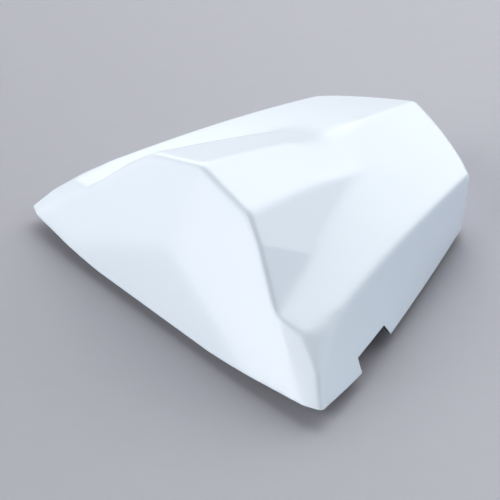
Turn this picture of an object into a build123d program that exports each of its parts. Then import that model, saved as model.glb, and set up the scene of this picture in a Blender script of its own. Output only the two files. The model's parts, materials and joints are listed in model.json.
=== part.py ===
from build123d import *
import os
from math import cos, radians, sqrt, tan

# Seat cowl: a one-piece moulding, open underneath, with its latch hardware.
# X runs across, the nose faces -Y, the tail +Y. Heights count from the rim, and the finished
# pieces are raised until the buffers, which reach below the rim, stand on Z = 0.
# A setback is a distance behind the nose, a half width one from the centre plane.

# Moulding
length = 242.2
wall = 3.0

# Front face: two leaning facets that meet in a crease, over a chin facet
tip_half_width = 145.5
tip_sweep = 7.03
tip_climb = 5.34
tip_lift_start = 55.0
tip_lift_half_width = 128.0
tip_lift_setback = 52.0
peak_height = 90.0
peak_setback = 43.7
chin_half_width = 92.0
chin_lean = 22.0

# Crown: arched centre lines of hump and deck that fall away to both sides
crown_fall = 14.5
hump_arch = 1.3
deck_front_height = 60.0
kink_setback = 152.5
kink_height = 66.7
tail_height = 59.3

# Recess wall between the hump and each shoulder, with a fold across it
hump_half_width = 46.4
apex_half_width = 40.0
apex_setback = 139.0
fold_half_width = 71.0
fold_setback = 66.0
fold_rise = 2.5
fold_front_half_width = 62.0
valley_inset = 54.0

# Front corner of each shoulder: a post facet and a chamfer facet, measured inwards from the tip
post_inset = 52.1
post_foot_inset = 27.5
post_foot_height = 17.0
shoulder_inset = 34.5
shoulder_setback = 25.0
chamfer_inset = 30.0
chamfer_setback = 38.0

# Side skirts and tail: a rim outline and a narrower outline at the crown's height
skirt_overhang = 4.0
skirt_rear_half_width = 71.5
skirt_rear_setback = 214.3
skirt_bow = 2.5
crown_outline_height = 70.0
crown_inset = 46.5
crown_rear_half_width = 73.2
crown_rear_setback = 218.0
crown_bow = 2.0
tail_tuck = 4.0
tail_bow = 3.5

# Notch in the rim of each skirt
notch_setback = 55.4
notch_length = 34.0
notch_depth = 8.5
notch_slant = 5.0

# Edge radii
hump_radius = 18.0
valley_radius = 10.0
front_radius = 100.0
ridge_radius = 10.0
corner_radius = 4.0
rim_radius = 4.0

# Ribs under the crown
rib = 2.2
rib_half_width = 30.0
rib_foot = 42.0
cross_rib_setbacks = (95.0, 165.0)
cross_rib_half_length = 46.0

# Locating tongues behind the front wall
tongue_half_width = 46.0
tongue_width = 30.0
tongue_length = 34.0
tongue_thickness = 4.0
tongue_height = 12.0

# Shelves and their rubber buffers
shelf_height = 15.0
shelf_thickness = 3.0
shelf_width = 26.0
front_buffer_half_width = 96.0
front_buffer_setback = 42.0
rear_buffer_half_width = 62.0
rear_buffer_setback = 178.0
buffer_radius = 9.0
buffer_reach = 6.5
buffer_stem_radius = 4.0
buffer_bulb_radius = 5.5
buffer_bulb_height = 6.0
buffer_clearance = 0.1

# Latch striker, its bosses and screws
striker_setback = 200.0
striker_thickness = 2.5
striker_width = 20.0
striker_foot = 8.0
ear_half_gap = 9.5
ear_radius = 7.0
pin_radius = 3.0
boss_half_width = 25.0
boss_radius = 7.0
boss_foot = 36.0
screw_radius = 2.4
screw_length = 14.0
screw_head_radius = 4.6
screw_head_height = 3.2
screw_socket_radius = 2.3
screw_socket_depth = 2.0
screw_clearance = 0.1

nose = -length / 2
overshoot = 20.0
rim_passes = 20
fall = tan(radians(crown_fall))
skirt_front_half_width = tip_half_width + skirt_overhang
crown_front_half_width = tip_half_width - crown_inset


def corner(half_width, setback, height):
    """A corner point of the right half."""
    return Vector(half_width, nose + setback, height)


def facet(a, b, c):
    """Plane through three corners, listed anticlockwise as seen from outside."""
    return Plane(origin=a, x_dir=b - a, z_dir=(b - a).cross(c - a))


def other_side(plane):
    """The same facet on the left half."""
    origin, x_dir, z_dir = [Vector(-v.X, v.Y, v.Z) for v in (plane.origin, plane.x_dir, plane.z_dir)]
    return Plane(origin=origin, x_dir=x_dir, z_dir=z_dir)


def on_crown(line, half_width, setback):
    """Point of a crowned surface: its arched centre line less the fall to the side."""
    reach = line.radius**2 - (nose + setback - line.arc_center.Y) ** 2
    return corner(half_width, setback, line.arc_center.Z + sqrt(reach) - fall * half_width)


def on_front(half_width, height):
    """Point of the front facet at a half width and a height."""
    slope = front_facet.z_dir
    rise = slope.X * (half_width - chin.X) + slope.Z * (height - chin.Z)
    return Vector(half_width, chin.Y - rise / slope.Y, height)


def on_rim(line, half_width):
    """Point in which the front facet meets a crowned surface, found in passes from one to the other."""
    place = on_front(half_width, peak_height)
    for _ in range(rim_passes):
        place = on_front(half_width, on_crown(line, half_width, place.Y - nose).Z)
    return place


def on_seam(plane, other, half_width):
    """Point of the line in which two facets meet."""
    seam = plane.intersect(other)
    return seam.position + seam.direction * ((half_width - seam.position.X) / seam.direction.X)


def between(a, b):
    """Middle of two corners."""
    return (a + b) / 2


# Corners and facets of the right half
peak = corner(0, peak_setback, peak_height)
kink = corner(0, kink_setback, kink_height)
chin = corner(chin_half_width, 0, 0)
tip_reach = tip_half_width - chin_half_width
tip = chin + Vector(1, tan(radians(tip_sweep)), tan(radians(tip_climb))) * tip_reach
hump_arc = ThreePointArc(peak, between(peak, kink) + Vector(0, 0, hump_arch), kink)
hump_line = ThreePointArc(on_crown(hump_arc, 0, 0), peak, kink)
deck_line = ThreePointArc(corner(0, 0, deck_front_height), kink, corner(0, length, tail_height))

front_facet = facet(chin, tip, peak)
chin_facet = Plane(origin=(0, nose, 0), x_dir=(1, 0, 0), z_dir=(0, -1, tan(radians(chin_lean))))

hump_corner = on_rim(hump_line, hump_half_width)
recess_apex = on_crown(deck_line, apex_half_width, apex_setback)
fold_rear = on_crown(deck_line, fold_half_width, fold_setback) + Vector(0, 0, fold_rise)
valley_front = on_rim(deck_line, tip_half_width - valley_inset)
recess_wall = facet(hump_corner, fold_rear, recess_apex)
fold_front = on_seam(front_facet, recess_wall, fold_front_half_width)
recess_foot = facet(valley_front, fold_rear, fold_front)

post_top = on_rim(deck_line, tip_half_width - post_inset)
post_foot = on_front(tip_half_width - post_foot_inset, post_foot_height)
shoulder_corner = on_crown(deck_line, tip_half_width - shoulder_inset, shoulder_setback)
chamfer_top = on_crown(deck_line, tip_half_width - chamfer_inset, chamfer_setback)
post_facet = facet(post_foot, shoulder_corner, post_top)
chamfer_facet = facet(tip, chamfer_top, shoulder_corner)


def outline(front_half_width, rear_half_width, rear_setback, bow, tail_setback, height, inset):
    """Plan of the cowl at one height: bowed sides and a bowed V for the tail."""
    with BuildSketch(Plane.XY.offset(height)) as plan:
        with BuildLine():
            front = Polyline(
                (0, nose - overshoot), (front_half_width, nose - overshoot), (front_half_width, nose)
            )
            side = SagittaArc(front @ 1, (rear_half_width, nose + rear_setback), -bow)
            SagittaArc(side @ 1, (0, nose + tail_setback), -tail_bow)
            mirror(about=Plane.YZ)
        make_face()
        if inset > 0:
            offset(amount=-inset, kind=Kind.INTERSECTION)
    return plan.sketch.face()


def trim(plane, inset):
    """Cut the part in work back to a facet and its twin on the left."""
    split(bisect_by=plane.offset(-inset), keep=Keep.BOTTOM)
    split(bisect_by=other_side(plane).offset(-inset), keep=Keep.BOTTOM)


def crown(line, inset):
    """Cut the part in work back to a crowned surface on both sides of its centre line."""
    drop = inset / cos(radians(crown_fall))
    far = length + peak_height
    for side in (1, -1):
        with BuildSketch(Plane.YZ) as above:
            with BuildLine():
                start, middle, end = [(line @ t - Vector(0, 0, drop)) for t in (0, 0.5, 1)]
                arch = ThreePointArc((start.Y, start.Z), (middle.Y, middle.Z), (end.Y, end.Z))
                run_in = arch @ 0 - (arch % 0) * overshoot * 2
                run_out = arch @ 1 + (arch % 1) * far
                Polyline(arch @ 1, run_out, (run_out.X, far), (run_in.X, far), run_in, arch @ 0)
            make_face()
        extrude(above.sketch, amount=far, dir=(side, 0, -fall), mode=Mode.SUBTRACT)


def form(inset):
    """The cowl as a solid block, each of its faces moved in by the inset."""
    with BuildPart() as lower:
        rim = outline(
            skirt_front_half_width,
            skirt_rear_half_width,
            skirt_rear_setback,
            skirt_bow,
            length - tail_tuck,
            0,
            inset,
        )
        shoulder_line = outline(
            crown_front_half_width,
            crown_rear_half_width,
            crown_rear_setback,
            crown_bow,
            length,
            crown_outline_height,
            inset,
        )
        loft(sections=[rim, shoulder_line], ruled=True)
        crown(deck_line, inset)
        trim(post_facet, inset)
        trim(chamfer_facet, inset)
    with BuildPart() as hump:
        with BuildSketch() as plan:
            with BuildLine():
                Polyline(
                    (0, nose - overshoot),
                    (tip_half_width - overshoot, nose - overshoot),
                    (apex_half_width, nose + kink_setback + overshoot),
                    (0, nose + kink_setback + overshoot),
                )
                mirror(about=Plane.YZ)
            make_face()
        extrude(amount=peak_height + overshoot)
        crown(hump_line, inset)
        trim(recess_wall, inset)
        trim(recess_foot, inset)
    with BuildPart() as block:
        add(lower.part)
        add(hump.part)
        split(bisect_by=chin_facet.offset(-inset), keep=Keep.BOTTOM)
        trim(front_facet, inset)
    return block.part


def edges_at(part, *places):
    """The edges of a part that pass nearest to some places and to their mirror images."""
    found = ShapeList()
    for place in places:
        for x in {place.X, -place.X}:
            found.append(part.edges().sort_by_distance(Vector(x, place.Y, place.Z))[0])
    return found


buffer_places = [
    (front_buffer_half_width, nose + front_buffer_setback),
    (rear_buffer_half_width, nose + rear_buffer_setback),
]
all_buffer_places = [(side * x, y) for x, y in buffer_places for side in (1, -1)]
striker_y = nose + striker_setback
boss_places = [(side * boss_half_width, striker_y) for side in (1, -1)]
tongue_root = nose + tongue_height * tan(radians(chin_lean)) + wall

outer_form = form(0)
middle_form = form(wall / 2)
inner_form = form(wall)

# What is moulded to the inside of the shell: ribs, bosses, shelves and tongues.
# All of it is trimmed to the form that lies half-way into the wall.
with BuildPart() as inside:
    with BuildSketch(Plane.XY.offset(rib_foot)) as ribs:
        with Locations((rib_half_width, 0)):
            Rectangle(rib, length)
        with Locations(*[(0, nose + setback) for setback in cross_rib_setbacks]):
            Rectangle(cross_rib_half_length, rib, align=(Align.MIN, Align.CENTER))
    extrude(amount=peak_height)
    with BuildSketch(Plane.XY.offset(boss_foot)) as boss:
        with Locations(boss_places[0]):
            Circle(boss_radius)
    extrude(amount=peak_height)
    with BuildSketch(Plane.XY.offset(shelf_height)) as shelves:
        with Locations(*[(x - shelf_width / 2, y) for x, y in buffer_places]):
            Rectangle(tip_half_width, shelf_width, align=(Align.MIN, Align.CENTER))
    extrude(amount=shelf_thickness)
    with BuildSketch(Plane.XY.offset(tongue_height)) as tongue:
        with Locations((tongue_half_width, tongue_root + tongue_length)):
            Rectangle(tongue_width, tongue_length + overshoot, align=(Align.CENTER, Align.MAX))
    extrude(amount=tongue_thickness)
    with BuildSketch(Plane.YZ.offset(tongue_half_width)) as gusset:
        with BuildLine():
            Polyline(
                (nose, tongue_height),
                (tongue_root + tongue_length, tongue_height + tongue_thickness),
                (tongue_root, tongue_height + tongue_length),
                (nose, tongue_height + tongue_length),
                close=True,
            )
        make_face()
    extrude(amount=rib / 2, both=True)
    mirror(about=Plane.YZ)
    add(middle_form, mode=Mode.INTERSECT)

# The shell: the rounded outer form, hollowed by the inner one
prow = on_seam(front_facet, chin_facet, 0)
tip_underside = facet(
    corner(tip_lift_start, 0, 0), corner(tip_lift_half_width, tip_lift_setback, 0), tip
)
with BuildPart() as cowl_shell:
    add(outer_form)
    fillet(edges_at(cowl_shell.part, between(hump_corner, recess_apex)), hump_radius)
    valley = (between(recess_apex, fold_rear), between(fold_rear, valley_front))
    fillet(edges_at(cowl_shell.part, *valley), valley_radius)
    fillet(edges_at(cowl_shell.part, between(chin, prow), between(prow, peak)), front_radius)
    ridge = (
        on_crown(hump_line, 0, (peak_setback + kink_setback) / 2),
        on_crown(deck_line, 0, (kink_setback + length) / 2),
    )
    fillet(edges_at(cowl_shell.part, *ridge), ridge_radius)
    tail_corners = (
        corner(0, length - tail_tuck / 2, tail_height / 2),
        corner(skirt_rear_half_width, (skirt_rear_setback + crown_rear_setback) / 2, tail_height / 2),
    )
    fillet(edges_at(cowl_shell.part, *tail_corners), corner_radius)
    rounded_edges = (
        between(peak, hump_corner),
        between(hump_corner, fold_front),
        between(fold_front, valley_front),
        between(post_top, post_foot),
        between(post_top, shoulder_corner),
        between(shoulder_corner, chamfer_top),
        between(shoulder_corner, tip),
        between(chamfer_top, tip),
        tip,
        on_crown(deck_line, (skirt_rear_half_width + chamfer_top.X) / 2, length / 2),
        on_crown(deck_line, crown_rear_half_width / 2, (crown_rear_setback + length) / 2),
    )
    fillet(edges_at(cowl_shell.part, *rounded_edges), rim_radius)
    add(inner_form, mode=Mode.SUBTRACT)
    add(inside.part)
    with BuildSketch(Plane.YZ) as notch:
        notch_start = nose + notch_setback
        notch_end = notch_start + notch_length
        with BuildLine():
            Polyline(
                (notch_start, 0),
                (notch_start, notch_depth),
                (notch_end, notch_depth),
                (notch_end + notch_slant, 0),
                close=True,
            )
        make_face()
    extrude(amount=skirt_front_half_width, both=True, mode=Mode.SUBTRACT)
    trim(tip_underside, 0)
    with Locations(*[Plane((x, y, boss_foot), z_dir=(0, 0, -1)) for x, y in boss_places]):
        Hole(screw_radius + screw_clearance, depth=screw_length)
    with Locations(*[(x, y, shelf_height + shelf_thickness) for x, y in all_buffer_places]):
        Hole(buffer_stem_radius + buffer_clearance, depth=shelf_thickness)

# Rubber buffers: a foot under each shelf, a stem through it and a bulb that holds above it
with BuildPart() as buffer:
    with BuildSketch(Plane.XZ) as section:
        with BuildLine():
            shelf_top = shelf_height + shelf_thickness
            Polyline(
                (0, -buffer_reach),
                (buffer_radius, -buffer_reach),
                (buffer_radius, shelf_height),
                (buffer_stem_radius, shelf_height),
                (buffer_stem_radius, shelf_top),
                (buffer_bulb_radius, shelf_top),
                (buffer_stem_radius, shelf_top + buffer_bulb_height),
                (0, shelf_top + buffer_bulb_height),
                close=True,
            )
        make_face()
    revolve(axis=Axis.Z)
with BuildPart() as rubber_buffers:
    with Locations(*all_buffer_places):
        add(buffer.part)

# Latch striker: a steel plate under the two bosses, with two ears and a latch pin that ends flush in them
with BuildPart() as latch_striker:
    plate_foot = boss_foot - striker_thickness
    pin_height = striker_foot + ear_radius
    with BuildSketch(Plane.XY.offset(plate_foot)) as plate:
        with Locations((0, striker_y)):
            SlotOverall(2 * boss_half_width + striker_width, striker_width)
        with Locations(*boss_places):
            Circle(screw_radius + screw_clearance, mode=Mode.SUBTRACT)
    extrude(amount=striker_thickness)
    with BuildSketch(Plane.YZ.offset(ear_half_gap)) as ear:
        with Locations((striker_y, pin_height)):
            Circle(ear_radius)
            Rectangle(2 * ear_radius, plate_foot - pin_height, align=(Align.CENTER, Align.MIN))
    extrude(amount=striker_thickness)
    mirror(about=Plane.YZ)
    with BuildSketch(Plane.YZ) as pin:
        with Locations((striker_y, pin_height)):
            Circle(pin_radius)
    extrude(amount=ear_half_gap + striker_thickness, both=True)

# Screws that hold the striker to the bosses
with BuildPart() as screw:
    with BuildSketch(Plane.XY.offset(plate_foot)) as shank:
        Circle(screw_radius)
    extrude(amount=screw_length)
    with BuildSketch(Plane.XY.offset(plate_foot)) as head:
        Circle(screw_head_radius)
    extrude(amount=-screw_head_height)
    with BuildSketch(Plane.XY.offset(plate_foot - screw_head_height)) as socket:
        RegularPolygon(screw_socket_radius, side_count=6)
    extrude(amount=screw_socket_depth, mode=Mode.SUBTRACT)
with BuildPart() as striker_screws:
    with Locations(*boss_places):
        add(screw.part)

# The cowl stands on its buffers, so every piece is raised by their reach below the rim
raised = Location((0, 0, buffer_reach))
for piece in (cowl_shell, rubber_buffers, latch_striker, striker_screws):
    piece.part.move(raised)

os.makedirs("parts", exist_ok=True)
cowl_shell.part.label = "cowl_shell"
export_step(cowl_shell.part, "parts/cowl_shell.step")
rubber_buffers.part.label = "rubber_buffers"
export_step(rubber_buffers.part, "parts/rubber_buffers.step")
latch_striker.part.label = "latch_striker"
export_step(latch_striker.part, "parts/latch_striker.step")
striker_screws.part.label = "striker_screws"
export_step(striker_screws.part, "parts/striker_screws.step")
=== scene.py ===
import json
import math

import bpy
import numpy as np
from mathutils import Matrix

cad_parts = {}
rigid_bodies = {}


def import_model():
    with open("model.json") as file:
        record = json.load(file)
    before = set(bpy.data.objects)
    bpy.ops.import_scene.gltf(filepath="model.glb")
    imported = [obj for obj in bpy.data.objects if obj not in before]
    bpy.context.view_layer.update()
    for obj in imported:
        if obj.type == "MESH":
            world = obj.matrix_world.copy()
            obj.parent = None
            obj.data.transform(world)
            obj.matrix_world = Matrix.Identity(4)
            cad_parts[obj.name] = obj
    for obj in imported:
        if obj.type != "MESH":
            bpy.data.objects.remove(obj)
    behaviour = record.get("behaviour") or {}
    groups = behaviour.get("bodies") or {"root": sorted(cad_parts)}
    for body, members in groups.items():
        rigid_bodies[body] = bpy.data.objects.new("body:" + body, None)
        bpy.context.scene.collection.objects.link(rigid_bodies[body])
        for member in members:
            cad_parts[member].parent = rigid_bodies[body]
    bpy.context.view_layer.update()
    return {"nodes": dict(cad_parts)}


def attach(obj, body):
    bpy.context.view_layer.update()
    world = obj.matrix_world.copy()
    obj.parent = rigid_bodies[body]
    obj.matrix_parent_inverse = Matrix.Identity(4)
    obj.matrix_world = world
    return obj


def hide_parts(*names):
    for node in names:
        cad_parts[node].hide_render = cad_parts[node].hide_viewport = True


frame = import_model()

# Cowl shell: one injection moulding in black ABS with a 3 mm wall, sprayed bluish white and
# clear coated on the outside. The hollow side keeps the bare moulded skin.

JOIN_GAP = 0.000005
SLIVER = 0.00002
SKIN_CELL = 0.0013
SKIN_ROUNDS = 2
APRON = 0.004
FLANGE_SPREAD = 1.06
RIM_HEIGHT = 0.0065
RIM_MARGIN = 0.001
RIM_FADE = 0.010
RIM_EDGE = math.radians(60)
SMOOTH_BELOW = math.radians(35)
SOFT_CORE = 1.4
FAINTEST_WEIGHT = 0.002
CREASE_RADIUS = 0.120
CREASE_HALF_WIDTH = 0.0075
CREASE_FULL_AT = 0.7
PEAK = (0.0, -0.0774, 0.0965)
HUMP_CORNER = (0.0464, -0.0805, 0.0850)
FOLD_FRONT = (0.0620, -0.0861, 0.0730)
FOLD_REAR = (0.0710, -0.0551, 0.0565)
VALLEY_FRONT = (0.0915, -0.0995, 0.0453)
POST_FOOT = (0.1180, -0.1098, 0.0235)
TIP = (0.1455, -0.1145, 0.0115)
APEX = (0.0400, 0.0179, 0.0632)
KINK = (0.0, 0.0314, 0.0732)
PROW = (0.0, -0.1040, 0.0489)
CHIN = (0.0920, -0.1211, 0.0065)
SHOULDER_CORNER = (0.1110, -0.0961, 0.0406)
CHAMFER_TOP = (0.1155, -0.0831, 0.0406)
CHAMFER_FOOT = (0.1380, -0.1000, 0.0105)
RIDGE_REAR = (0.0725, 0.0940, 0.0475)
FRONT_RIM = [PEAK, HUMP_CORNER, FOLD_FRONT, VALLEY_FRONT, POST_FOOT, TIP]


def only(piece):
    bpy.ops.object.select_all(action="DESELECT")
    piece.select_set(True)
    bpy.context.view_layer.objects.active = piece


def merged_copy(node_name, piece_name):
    """A mesh of its own for a piece, from the CAD node with its loose triangles joined."""
    node = frame["nodes"][node_name]
    piece = bpy.data.objects.new(piece_name, node.data.copy())
    bpy.context.scene.collection.objects.link(piece)
    piece.data.name = piece_name
    piece.data.materials.clear()
    only(piece)
    bpy.ops.mesh.customdata_custom_splitnormals_clear()
    bpy.ops.object.mode_set(mode="EDIT")
    bpy.ops.mesh.select_all(action="SELECT")
    bpy.ops.mesh.remove_doubles(threshold=JOIN_GAP)
    bpy.ops.mesh.dissolve_degenerate(threshold=SLIVER)
    bpy.ops.object.mode_set(mode="OBJECT")
    bpy.context.view_layer.update()
    return piece


def apply_modifier(piece, kind, **settings):
    only(piece)
    modifier = piece.modifiers.new(kind.title(), kind)
    for name, value in settings.items():
        setattr(modifier, name, value)
    bpy.ops.object.modifier_apply(modifier=modifier.name)


def delete_side(piece, outside):
    """Deletes the painted side, which runs from the peak to the sharp edge of the rim, or the
    hollow side, which is all the rest. Then selects the border that is left open."""
    bpy.ops.object.mode_set(mode="EDIT")
    bpy.ops.mesh.select_mode(type="EDGE")
    bpy.ops.mesh.select_all(action="DESELECT")
    bpy.ops.mesh.edges_select_sharp(sharpness=RIM_EDGE)
    bpy.ops.mesh.mark_sharp()
    bpy.ops.mesh.select_mode(type="FACE")
    bpy.ops.mesh.select_all(action="DESELECT")
    bpy.ops.object.mode_set(mode="OBJECT")
    highest = max(piece.data.polygons, key=lambda face: face.center.z)
    highest.select = True
    bpy.ops.object.mode_set(mode="EDIT")
    bpy.ops.mesh.select_linked(delimit={"SHARP"})
    if not outside:
        bpy.ops.mesh.select_all(action="INVERT")
    bpy.ops.mesh.delete(type="FACE")
    bpy.ops.mesh.select_mode(type="EDGE")
    bpy.ops.mesh.select_all(action="DESELECT")
    bpy.ops.mesh.select_non_manifold(
        extend=False, use_wire=False, use_multi_face=False, use_non_contiguous=False, use_verts=False
    )


def close_border():
    bpy.ops.mesh.fill(use_beauty=False)
    bpy.ops.mesh.select_all(action="SELECT")
    bpy.ops.mesh.normals_make_consistent(inside=False)
    bpy.ops.object.mode_set(mode="OBJECT")


def skin_points(piece):
    points = np.empty(len(piece.data.vertices) * 3)
    piece.data.vertices.foreach_get("co", points)
    return points.reshape(-1, 3)


def distance_to(points, path):
    """Distance of each point from a path; both sides of the cowl are folded onto one."""
    folded = points.copy()
    folded[:, 0] = np.abs(folded[:, 0])
    nearest = np.full(len(points), np.inf)
    for start, end in zip(path, path[1:]):
        start, end = np.array(start), np.array(end)
        run = end - start
        along = np.clip((folded - start) @ run / (run @ run), 0, 1)
        nearest = np.minimum(nearest, np.linalg.norm(folded - start - along[:, None] * run, axis=1))
    return nearest


def ease(value):
    value = np.clip(value, 0, 1)
    return value * value * (3 - 2 * value)


def soften(piece, path, reach, blend, clear_of=None, clear=0.0, fade=0.01):
    """Rounds the skin along a path: blend is the half width of the rounding at its middle. Near
    the rim, and near the path to be clear of, the skin stays as it is."""
    points = skin_points(piece)
    weight = ease(SOFT_CORE * (1 - distance_to(points, path) / reach))
    weight *= ease((points[:, 2] - RIM_HEIGHT - RIM_MARGIN) / RIM_FADE)
    if clear_of:
        weight *= ease((distance_to(points, clear_of) - clear) / fade)
    group = piece.vertex_groups.new(name="soft")
    for index in np.flatnonzero(weight > FAINTEST_WEIGHT):
        group.add([int(index)], float(weight[index]), "REPLACE")
    rounds = max(1, round((2 * blend / SKIN_CELL) ** 2))
    apply_modifier(piece, "SMOOTH", factor=0.5, iterations=rounds, vertex_group="soft")
    piece.vertex_groups.remove(piece.vertex_groups["soft"])


def crisp_crease(piece):
    """Fills out the round of the front's centre crease, fully at the peak and less towards the prow."""
    points = skin_points(piece)
    outwards = np.cross(np.subtract(PEAK, PROW), (1, 0, 0))
    outwards /= np.linalg.norm(outwards)
    if outwards[1] > 0:
        outwards = -outwards
    room = np.clip(CREASE_HALF_WIDTH - np.abs(points[:, 0]), 0, None)
    filling = room**2 / (2 * CREASE_RADIUS)
    filling *= ease((points[:, 2] - PROW[2]) / (CREASE_FULL_AT * (PEAK[2] - PROW[2])))
    filling[distance_to(points, [PEAK, PROW]) > CREASE_HALF_WIDTH] = 0
    points += filling[:, None] * outwards
    piece.data.vertices.foreach_set("co", points.ravel())
    piece.data.update()


def new_material(name):
    material = bpy.data.materials.new(name)
    material.use_nodes = True
    tree = material.node_tree
    return material, tree, tree.nodes["Principled BSDF"]


def grain(tree, scale, detail, stretch=(1, 1, 1)):
    """Noise on the piece's own coordinates, drawn out along any axis with a small stretch."""
    place = tree.nodes.new("ShaderNodeTexCoord")
    drawn = tree.nodes.new("ShaderNodeMapping")
    drawn.inputs["Scale"].default_value = stretch
    noise = tree.nodes.new("ShaderNodeTexNoise")
    noise.inputs["Scale"].default_value = scale
    noise.inputs["Detail"].default_value = detail
    tree.links.new(place.outputs["Object"], drawn.inputs["Vector"])
    tree.links.new(drawn.outputs["Vector"], noise.inputs["Vector"])
    return noise.outputs["Fac"]


def tinted(tree, shader, source, dark, light):
    """The base colour wanders between two shades."""
    mix = tree.nodes.new("ShaderNodeMix")
    mix.data_type = "RGBA"
    mix.inputs["A"].default_value = (*dark, 1)
    mix.inputs["B"].default_value = (*light, 1)
    tree.links.new(source, mix.inputs["Factor"])
    tree.links.new(mix.outputs["Result"], shader.inputs["Base Color"])


def roughened(tree, shader, source, low, high):
    """The roughness wanders between two values, over the middle of the noise."""
    spread = tree.nodes.new("ShaderNodeMapRange")
    spread.inputs["From Min"].default_value = 0.3
    spread.inputs["From Max"].default_value = 0.7
    spread.inputs["To Min"].default_value = low
    spread.inputs["To Max"].default_value = high
    tree.links.new(source, spread.inputs["Value"])
    tree.links.new(spread.outputs["Result"], shader.inputs["Roughness"])


def bumped(tree, source, depth, *sockets):
    bump = tree.nodes.new("ShaderNodeBump")
    bump.inputs["Distance"].default_value = depth
    tree.links.new(source, bump.inputs["Height"])
    for socket in sockets:
        tree.links.new(bump.outputs["Normal"], socket)


paint, paint_tree, paint_shader = new_material("bluish_white_gloss_paint")
cloud = grain(paint_tree, scale=25, detail=2)
tinted(paint_tree, paint_shader, cloud, dark=(0.76, 0.85, 0.94), light=(0.78, 0.87, 0.96))
roughened(paint_tree, paint_shader, grain(paint_tree, scale=180, detail=3), low=0.32, high=0.38)
orange_peel = grain(paint_tree, scale=420, detail=1)
coat_normal = paint_shader.inputs["Coat Normal"]
bumped(paint_tree, orange_peel, 0.00001, paint_shader.inputs["Normal"], coat_normal)
paint_shader.inputs["Coat Weight"].default_value = 0.6
paint_shader.inputs["Coat Roughness"].default_value = 0.18

bare, bare_tree, bare_shader = new_material("moulded_black_plastic")
flow = grain(bare_tree, scale=40, detail=3)
tinted(bare_tree, bare_shader, flow, dark=(0.024, 0.024, 0.025), light=(0.034, 0.034, 0.036))
roughened(bare_tree, bare_shader, grain(bare_tree, scale=260, detail=3), low=0.42, high=0.58)
bumped(bare_tree, grain(bare_tree, scale=1100, detail=3), 0.00004, bare_shader.inputs["Normal"])

# The painted side becomes a closed block with an even skin, rounded along its edges.
cowl = merged_copy("cowl_shell", "painted_cowl")
delete_side(cowl, outside=False)
bpy.ops.mesh.extrude_region_move(TRANSFORM_OT_translate={"value": (0, 0, -APRON)})
close_border()
cowl.data.remesh_voxel_size = SKIN_CELL
bpy.ops.object.voxel_remesh()
cowl.data.materials.append(paint)

apply_modifier(cowl, "SMOOTH", factor=0.5, iterations=SKIN_ROUNDS)
crisp_crease(cowl)
soften(cowl, [PROW, CHIN], reach=0.036, blend=0.009, clear_of=FRONT_RIM, clear=0.004, fade=0.020)
soften(cowl, [KINK, APEX], reach=0.036, blend=0.010,
       clear_of=[HUMP_CORNER, APEX, FOLD_REAR], clear=0.003, fade=0.012)
soften(cowl, [HUMP_CORNER, APEX], reach=0.012, blend=0.0018,
       clear_of=FRONT_RIM, clear=0.004, fade=0.014)
soften(cowl, [APEX, FOLD_REAR], reach=0.016, blend=0.0030,
       clear_of=[FOLD_FRONT, FOLD_REAR], clear=0.002, fade=0.010)
soften(cowl, [FOLD_FRONT, FOLD_REAR, VALLEY_FRONT], reach=0.006, blend=0.0010,
       clear_of=FRONT_RIM, clear=0.002, fade=0.006)
soften(cowl, [CHAMFER_TOP, RIDGE_REAR], reach=0.016, blend=0.0035)
soften(cowl, [VALLEY_FRONT, SHOULDER_CORNER, CHAMFER_TOP], reach=0.012, blend=0.0025,
       clear_of=FRONT_RIM, clear=0.002, fade=0.006)
soften(cowl, [CHAMFER_TOP, CHAMFER_FOOT], reach=0.020, blend=0.007,
       clear_of=[SHOULDER_CORNER, TIP], clear=0.003, fade=0.008)
soften(cowl, [PEAK, HUMP_CORNER], reach=0.012, blend=0.0028)
soften(cowl, [POST_FOOT, TIP], reach=0.014, blend=0.005,
       clear_of=[SHOULDER_CORNER, TIP], clear=0.003, fade=0.008)

# The hollow side, with a flange past the rim and a flat bottom, is cut out of that block.
hollow = merged_copy("cowl_shell", "hollow_side")
hollow.data.materials.append(bare)
delete_side(hollow, outside=True)
bpy.ops.mesh.extrude_region_move()
bpy.ops.transform.resize(value=(FLANGE_SPREAD, FLANGE_SPREAD, 1), center_override=(0, 0, 0))
bpy.ops.mesh.extrude_region_move()
bpy.ops.transform.resize(value=(1, 1, 0), center_override=(0, 0, -APRON))
close_border()
apply_modifier(cowl, "BOOLEAN", operation="DIFFERENCE", solver="MANIFOLD", object=hollow,
               material_mode="TRANSFER")
bpy.data.objects.remove(hollow)
only(cowl)
bpy.ops.object.shade_smooth_by_angle(angle=SMOOTH_BELOW)
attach(cowl, "root")
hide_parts("cowl_shell")

# Latch striker: a bent steel plate with two ears and a riveted pin for the hook of the seat
# lock, bright zinc plated, screwed up against two bosses of the cowl.

STRIKER_EDGE = 0.0003
FLAT_WITHIN = math.radians(0.5)
BEVEL_ABOVE = math.radians(40)


def eased_copy(node_name, piece_name, material, edge):
    """A merged copy with whole faces in place of triangles and a small round on each edge."""
    piece = merged_copy(node_name, piece_name)
    piece.data.materials.append(material)
    bpy.ops.object.mode_set(mode="EDIT")
    bpy.ops.mesh.select_all(action="SELECT")
    bpy.ops.mesh.dissolve_limited(angle_limit=FLAT_WITHIN)
    bpy.ops.object.mode_set(mode="OBJECT")
    apply_modifier(piece, "BEVEL", width=edge, segments=2, limit_method="ANGLE",
                   angle_limit=BEVEL_ABOVE)
    bpy.ops.object.shade_smooth_by_angle(angle=SMOOTH_BELOW)
    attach(piece, "root")
    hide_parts(node_name)
    return piece


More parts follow.
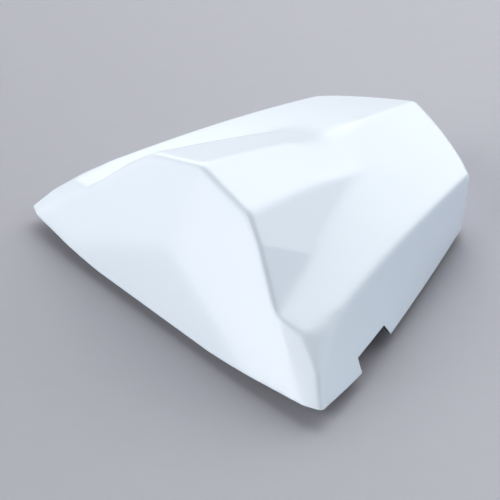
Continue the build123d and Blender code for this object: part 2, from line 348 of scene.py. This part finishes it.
zinc, zinc_tree, zinc_shader = new_material("zinc_plated_steel")
spangle = grain(zinc_tree, scale=120, detail=4)
tinted(zinc_tree, zinc_shader, spangle, dark=(0.54, 0.55, 0.54), light=(0.66, 0.66, 0.64))
rolled = grain(zinc_tree, scale=900, detail=3, stretch=(0.04, 1, 1))
roughened(zinc_tree, zinc_shader, rolled, low=0.26, high=0.42)
bumped(zinc_tree, rolled, 0.000012, zinc_shader.inputs["Normal"])
zinc_shader.inputs["Metallic"].default_value = 1
striker = eased_copy("latch_striker", "plated_striker", zinc, STRIKER_EDGE)

# Striker screws: two socket-head steel screws, chemically blackened, that hold the striker's
# plate up against the bosses of the cowl.

SCREW_EDGE = 0.0002

black, black_tree, black_shader = new_material("blackened_steel")
oxide = grain(black_tree, scale=300, detail=3)
tinted(black_tree, black_shader, oxide, dark=(0.20, 0.20, 0.21), light=(0.27, 0.27, 0.28))
roughened(black_tree, black_shader, grain(black_tree, scale=700, detail=3), low=0.34, high=0.50)
bumped(black_tree, grain(black_tree, scale=1500, detail=2), 0.00001, black_shader.inputs["Normal"])
black_shader.inputs["Metallic"].default_value = 1
screws = eased_copy("striker_screws", "blackened_screws", black, SCREW_EDGE)

# Rubber buffers: four moulded black rubber feet, each pulled by its neck into a shelf of the
# cowl. They rest on the seat rails, and hold the rim clear of the ground here.

BUFFER_EDGE = 0.0005

rubber, rubber_tree, rubber_shader = new_material("black_rubber")
bloom = grain(rubber_tree, scale=90, detail=4)
tinted(rubber_tree, rubber_shader, bloom, dark=(0.022, 0.022, 0.023), light=(0.038, 0.037, 0.037))
roughened(rubber_tree, rubber_shader, grain(rubber_tree, scale=400, detail=3), low=0.68, high=0.86)
bumped(rubber_tree, grain(rubber_tree, scale=1300, detail=3), 0.00005, rubber_shader.inputs["Normal"])
buffers = eased_copy("rubber_buffers", "rubber_feet", rubber, BUFFER_EDGE)

# Floor: a plain sweep of pale grey paper, a hair below the buffers' feet. Its colour carries a painted
# light falloff that makes it gently paler towards the tail of the cowl, and its fibres show as a faint
# unevenness.

FLOOR_SIZE = 6.0
FLOOR_GAP = 0.00005
FIBRE_SHADE = 0.10
PAINTED_FALLOFF_DIRECTION = (0.6, 1.9, 0)

bpy.ops.mesh.primitive_plane_add(size=FLOOR_SIZE, location=(0, 0, -FLOOR_GAP))
floor = bpy.context.active_object
floor.name = "floor"
paper, paper_tree, paper_shader = new_material("pale_grey_paper_with_painted_falloff")
place = paper_tree.nodes.new("ShaderNodeTexCoord")
# Painted light: the paper's colour is made paler towards the tail and darker the other way, in place of
# the light's falloff along the floor.
painted_falloff_dot = paper_tree.nodes.new("ShaderNodeVectorMath")
painted_falloff_dot.operation = "DOT_PRODUCT"
painted_falloff_dot.inputs[1].default_value = PAINTED_FALLOFF_DIRECTION
paper_tree.links.new(place.outputs["Object"], painted_falloff_dot.inputs[0])
painted_falloff_levelled = paper_tree.nodes.new("ShaderNodeMath")
painted_falloff_levelled.operation = "TANH"
paper_tree.links.new(painted_falloff_dot.outputs["Value"], painted_falloff_levelled.inputs[0])
painted_falloff_range = paper_tree.nodes.new("ShaderNodeMapRange")
painted_falloff_range.inputs["From Min"].default_value = -1
painted_falloff_range.inputs["To Max"].default_value = 1 - FIBRE_SHADE
paper_tree.links.new(painted_falloff_levelled.outputs["Value"], painted_falloff_range.inputs["Value"])
# The paper's shade is the fibres' faint unevenness laid over the painted light falloff.
fibres_and_painted_falloff = paper_tree.nodes.new("ShaderNodeMath")
fibres_and_painted_falloff.operation = "MULTIPLY_ADD"
fibres_and_painted_falloff.inputs[1].default_value = FIBRE_SHADE
paper_tree.links.new(grain(paper_tree, scale=60, detail=4), fibres_and_painted_falloff.inputs[0])
paper_tree.links.new(painted_falloff_range.outputs["Result"], fibres_and_painted_falloff.inputs[2])
tinted(paper_tree, paper_shader, fibres_and_painted_falloff.outputs["Value"],
       dark=(0.36, 0.365, 0.41), light=(0.545, 0.55, 0.61))
roughened(paper_tree, paper_shader, grain(paper_tree, scale=500, detail=3), low=0.66, high=0.76)
bumped(paper_tree, grain(paper_tree, scale=1500, detail=3), 0.00002, paper_shader.inputs["Normal"])
floor.data.materials.append(paper)

# Studio light: a pale surround that glows from a few directions, most of them broad and soft.
# Each row has a glow's azimuth, from the cowl's front towards +X, and height, both in degrees,
# and then its focus, strength and tint.

BROAD = 14.0
TIGHT = 70.0
WHITE = (1.0, 1.0, 1.0)
COOL = (1.0, 1.07, 1.15)
GLOWS = (
    (180, 28, BROAD, 3.25, WHITE),
    (240, 28, BROAD, 2.40, WHITE),
    (210, 50, BROAD, 1.75, WHITE),
    (240, 50, BROAD, 1.00, WHITE),
    (300, 4, BROAD, 2.20, WHITE),
    (345, 4, BROAD, 4.30, WHITE),
    (10, 4, BROAD, 0.40, WHITE),
    (80, 4, BROAD, 1.30, COOL),
    (120, 10, BROAD, 1.60, COOL),
    (350, 42, TIGHT, 7.00, WHITE),
    (331, 13, TIGHT, 1.60, WHITE),
)

world = bpy.data.worlds.new("studio")
bpy.context.scene.world = world
world.use_nodes = True
sky = world.node_tree
background = sky.nodes["Background"]


def sky_math(operation, first, second=None):
    node = sky.nodes.new("ShaderNodeMath")
    node.operation = operation
    for socket, value in zip(node.inputs, (first, second)):
        if isinstance(value, (int, float)):
            socket.default_value = value
        elif value is not None:
            sky.links.new(value, socket)
    return node.outputs["Value"]


direction = sky.nodes.new("ShaderNodeTexCoord").outputs["Generated"]
total = None
for azimuth, height, focus, strength, tint in GLOWS:
    turn, tilt = math.radians(azimuth), math.radians(height)
    facing = sky.nodes.new("ShaderNodeVectorMath")
    facing.operation = "DOT_PRODUCT"
    facing.inputs[1].default_value = (
        math.sin(turn) * math.cos(tilt), -math.cos(turn) * math.cos(tilt), math.sin(tilt)
    )
    sky.links.new(direction, facing.inputs[0])
    away = sky_math("SUBTRACT", facing.outputs["Value"], 1.0)
    amount = sky_math("MULTIPLY", sky_math("EXPONENT", sky_math("MULTIPLY", away, focus)), strength)
    glow = sky.nodes.new("ShaderNodeVectorMath")
    glow.operation = "SCALE"
    glow.inputs[0].default_value = tint
    sky.links.new(amount, glow.inputs["Scale"])
    if total is None:
        total = glow.outputs["Vector"]
        continue
    both = sky.nodes.new("ShaderNodeVectorMath")
    sky.links.new(total, both.inputs[0])
    sky.links.new(glow.outputs["Vector"], both.inputs[1])
    total = both.outputs["Vector"]
sky.links.new(total, background.inputs["Color"])

# Camera: the photograph's viewing angle, from the front and above with the notched side in
# view, through a long lens.

camera_data = bpy.data.cameras.new("camera")
camera_data.sensor_width = 36
camera_data.lens = 99.98
camera = bpy.data.objects.new("camera", camera_data)
bpy.context.scene.collection.objects.link(camera)
camera.location = (0.5522, -0.5381, 0.5466)
camera.rotation_euler = (math.radians(54.395), 0, math.radians(47.786))
bpy.context.scene.camera = camera
bpy.context.scene.view_settings.view_transform = "Standard"
